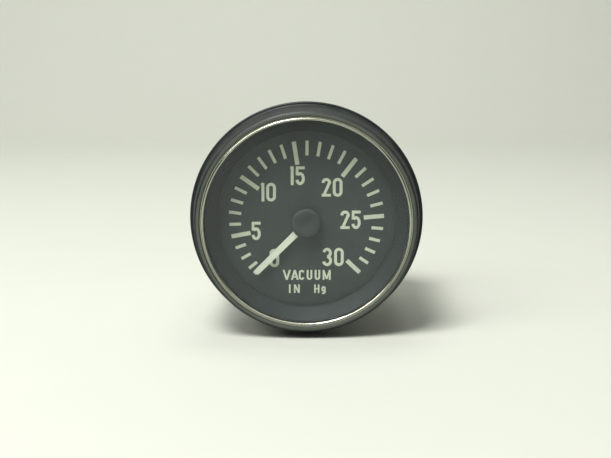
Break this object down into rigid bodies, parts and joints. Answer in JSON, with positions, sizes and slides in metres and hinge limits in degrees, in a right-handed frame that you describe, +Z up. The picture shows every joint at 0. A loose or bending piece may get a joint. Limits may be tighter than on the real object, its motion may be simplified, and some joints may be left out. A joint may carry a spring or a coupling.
{
  "type": "vacuum gauge",
  "caption": "Round panel vacuum gauge: black stepped bezel with a bright ring, dial and sweeping pointer over a Bourdon tube movement, with a rear inlet stem and a U-shaped panel clamp.",
  "frame": {"origin": "on the case axis, in the plane of the panel that the bezel's flange lies on", "axes": "+Y along the case axis towards the back, -Y out of the dial, +Z up, +X to the right seen from the front"},
  "size_m": [0.0604, 0.0672, 0.0604],
  "materials": {
    "black_paint": "satin",
    "bright_metal": "polished",
    "glass": "clear",
    "rubber": "matt",
    "matt_black": "matt",
    "pointer_white": "matt",
    "black_plastic": "matt",
    "zinc_steel": "zinc plated",
    "screw_steel": "bright",
    "brass": "machined",
    "bronze": "drawn",
    "fibre": "matt"
  },
  "bodies": {
    "case": {"bezel": "black_paint", "trim_ring": "bright_metal", "lens": "glass", "lens_gasket": "rubber", "shade_ring": "matt_black", "dial": "matt_black", "dial_posts": "brass", "case_shell": "zinc_steel", "top_plate": "brass", "bottom_plate": "brass", "pillars": "brass", "plate_screws": "screw_steel", "movement_screws": "screw_steel", "socket_block": "brass", "bore_plug": "brass", "inlet_stem": "brass", "stem_washer": "fibre", "stem_nut": "brass", "bourdon_tube": "bronze", "hairspring": "bronze", "hairspring_stud": "brass", "case_studs": "zinc_steel", "lamp_socket": "black_plastic", "lamp_bulb": "glass", "lamp_terminals": "brass"},
    "pointer": {"pointer_blade": "pointer_white", "pointer_hub": "black_plastic", "pointer_arbor": "screw_steel", "pinion": "screw_steel", "hairspring_collet": "brass"},
    "sector": {"sector_gear": "brass", "sector_arbor": "screw_steel", "link_pin": "screw_steel"},
    "link": {"link": "screw_steel"},
    "tip": {"tube_tip": "brass"},
    "clamp": {"clamp_bracket": "zinc_steel", "lock_washers": "zinc_steel", "stud_nuts": "zinc_steel"}
  },
  "joints": [
    {"name": "tip_travel", "type": "slide", "parent": "case", "child": "tip", "axis": [0.3502, 0, -0.9367], "range_m": [0, 0.00203], "stiffness_N_per_m": 200, "springref_m": -0.0005, "deforming": ["bourdon_tube"]},
    {"name": "sector_swing", "type": "hinge", "parent": "case", "child": "sector", "pos_m": [-0.01223, 0, -0.01153], "axis": [0, 1, 0], "range_deg": [-33.75, 0]},
    {"name": "link_swing", "type": "hinge", "parent": "sector", "child": "link", "pos_m": [-0.01572, 0, -0.01175], "axis": [0, 1, 0], "range_deg": [0, 33.75]},
    {"name": "pointer_spin", "type": "hinge", "parent": "case", "child": "pointer", "pos_m": [0, 0, -0.0009], "axis": [0, 1, 0], "range_deg": [0, 270], "deforming": ["hairspring"]},
    {"name": "clamp_slide", "type": "slide", "parent": "case", "child": "clamp", "axis": [0, 1, 0], "range_m": [0, 0.006]}
  ],
  "couplings": [
    {"joint": "sector_swing", "follows": "tip_travel", "rad_per_m": -289.88},
    {"joint": "link_swing", "follows": "tip_travel", "rad_per_m": 289.88},
    {"joint": "pointer_spin", "follows": "tip_travel", "rad_per_m": 2319.1}
  ]
}
